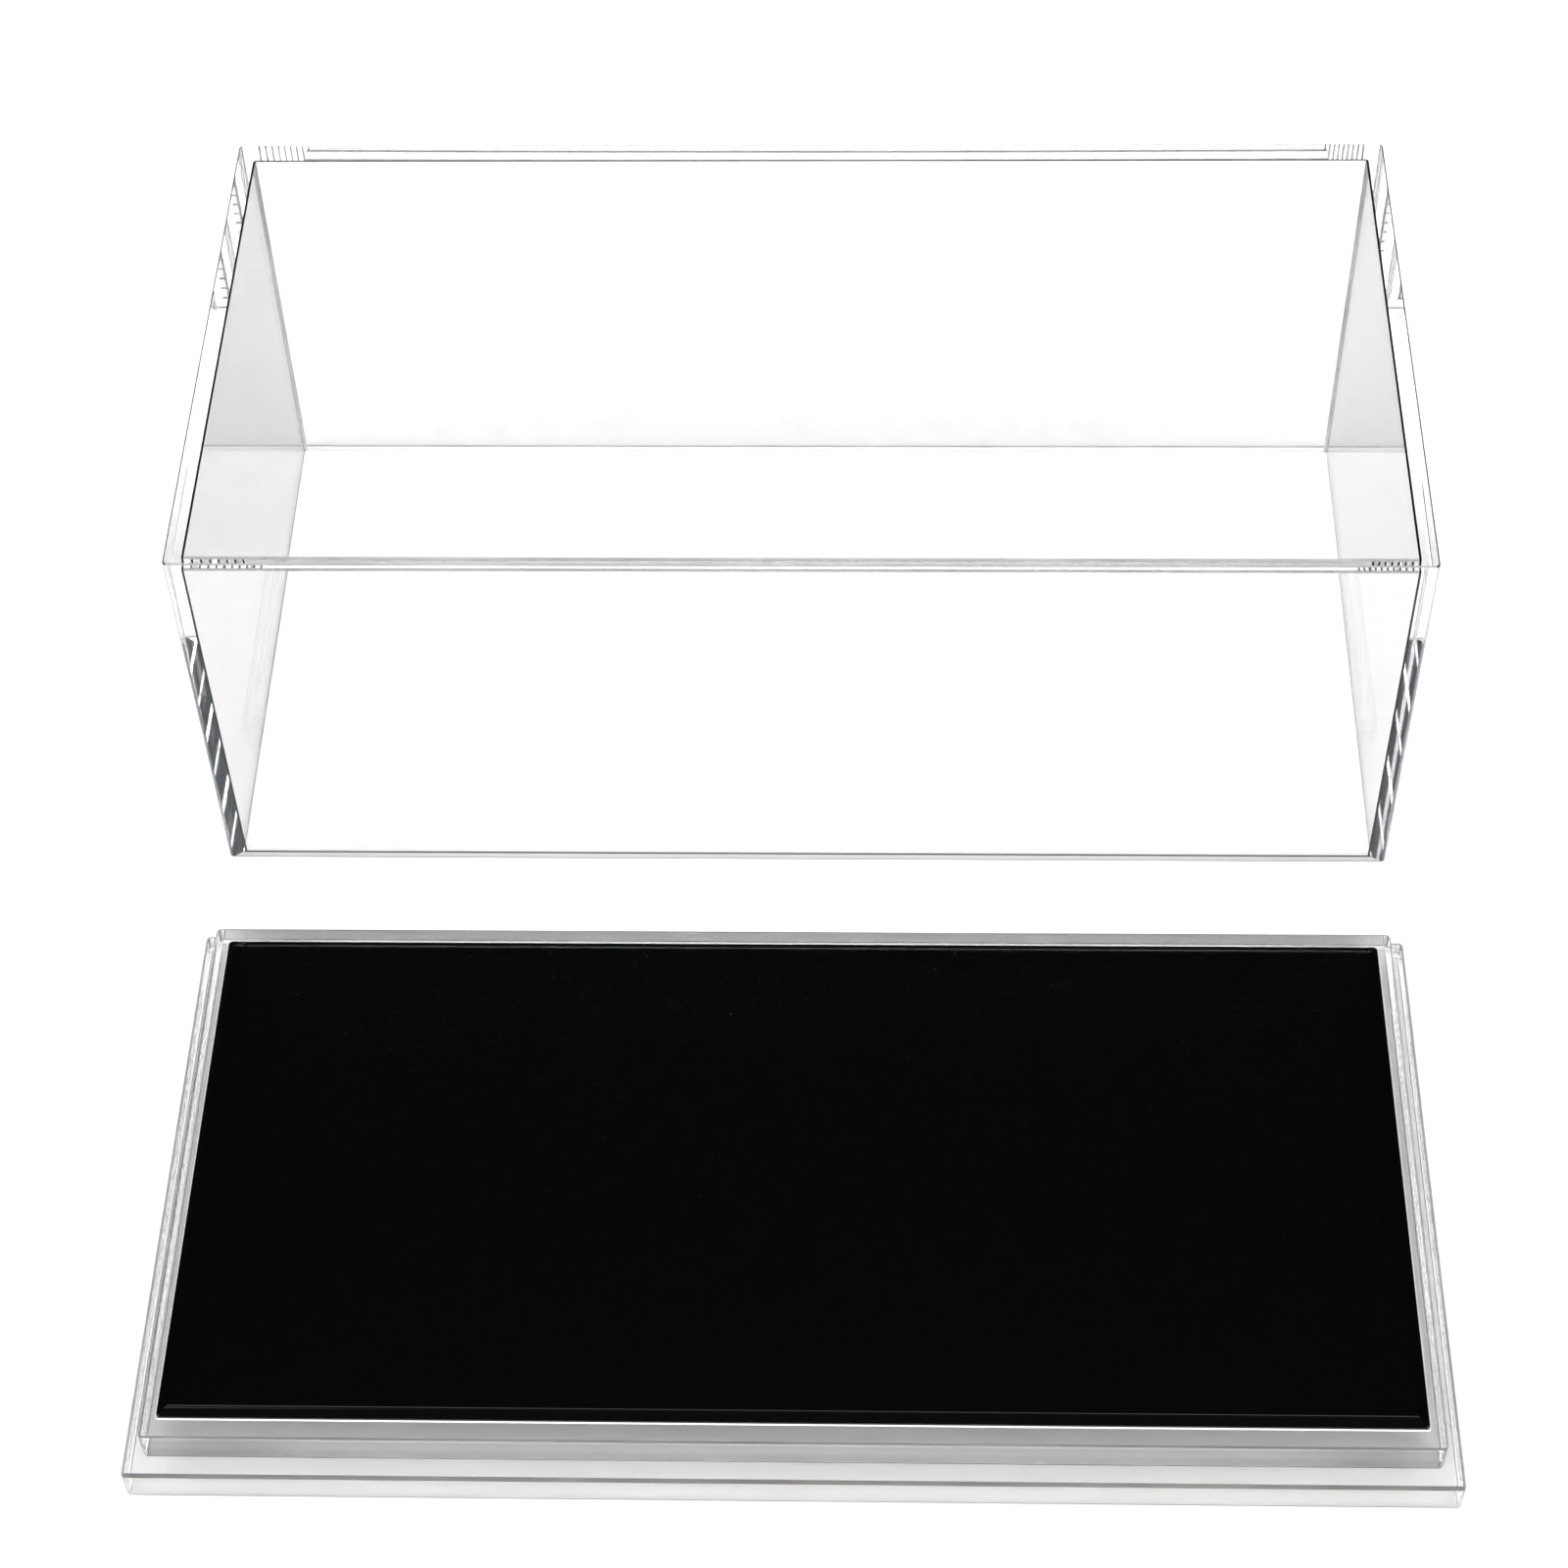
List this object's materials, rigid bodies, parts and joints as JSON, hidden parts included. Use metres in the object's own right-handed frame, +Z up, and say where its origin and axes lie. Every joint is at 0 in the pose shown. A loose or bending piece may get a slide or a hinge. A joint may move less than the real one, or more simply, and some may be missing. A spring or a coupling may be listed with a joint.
{
  "type": "model car display case",
  "caption": "Clear display case for a model car: a five-sided cover that lifts off a two-tier clear base with a black deck, on small clear feet.",
  "frame": {"origin": "on the table, at the centre of the footprint of both pieces together, midway between the base and the cover that stands behind it", "axes": "+Z up; +X along the width, to the right seen from the front; +Y from the base to the cover behind it"},
  "size_m": [0.32, 0.3586, 0.119],
  "materials": {
    "clear_acrylic": "clear cast acrylic sheet, polished faces and diamond-polished edges",
    "black_acrylic": "black cast acrylic sheet, polished top with a shallow machined bevel",
    "clear_rubber": "clear soft polyurethane bumper, satin"
  },
  "bodies": {
    "base": {"base_plate": "clear_acrylic", "plinth": "clear_acrylic", "display_deck": "black_acrylic", "foot_front_left": "clear_rubber", "foot_front_right": "clear_rubber", "foot_back_left": "clear_rubber", "foot_back_right": "clear_rubber"},
    "cover": {"cover_top_panel": "clear_acrylic", "cover_front_panel": "clear_acrylic", "cover_back_panel": "clear_acrylic", "cover_left_panel": "clear_acrylic", "cover_right_panel": "clear_acrylic"}
  },
  "joints": [
    {"name": "cover_carry", "type": "slide", "parent": "base", "child": "cover", "axis": [0, -0.7071, 0.7071], "range_m": [0, 0.2793]}
  ]
}
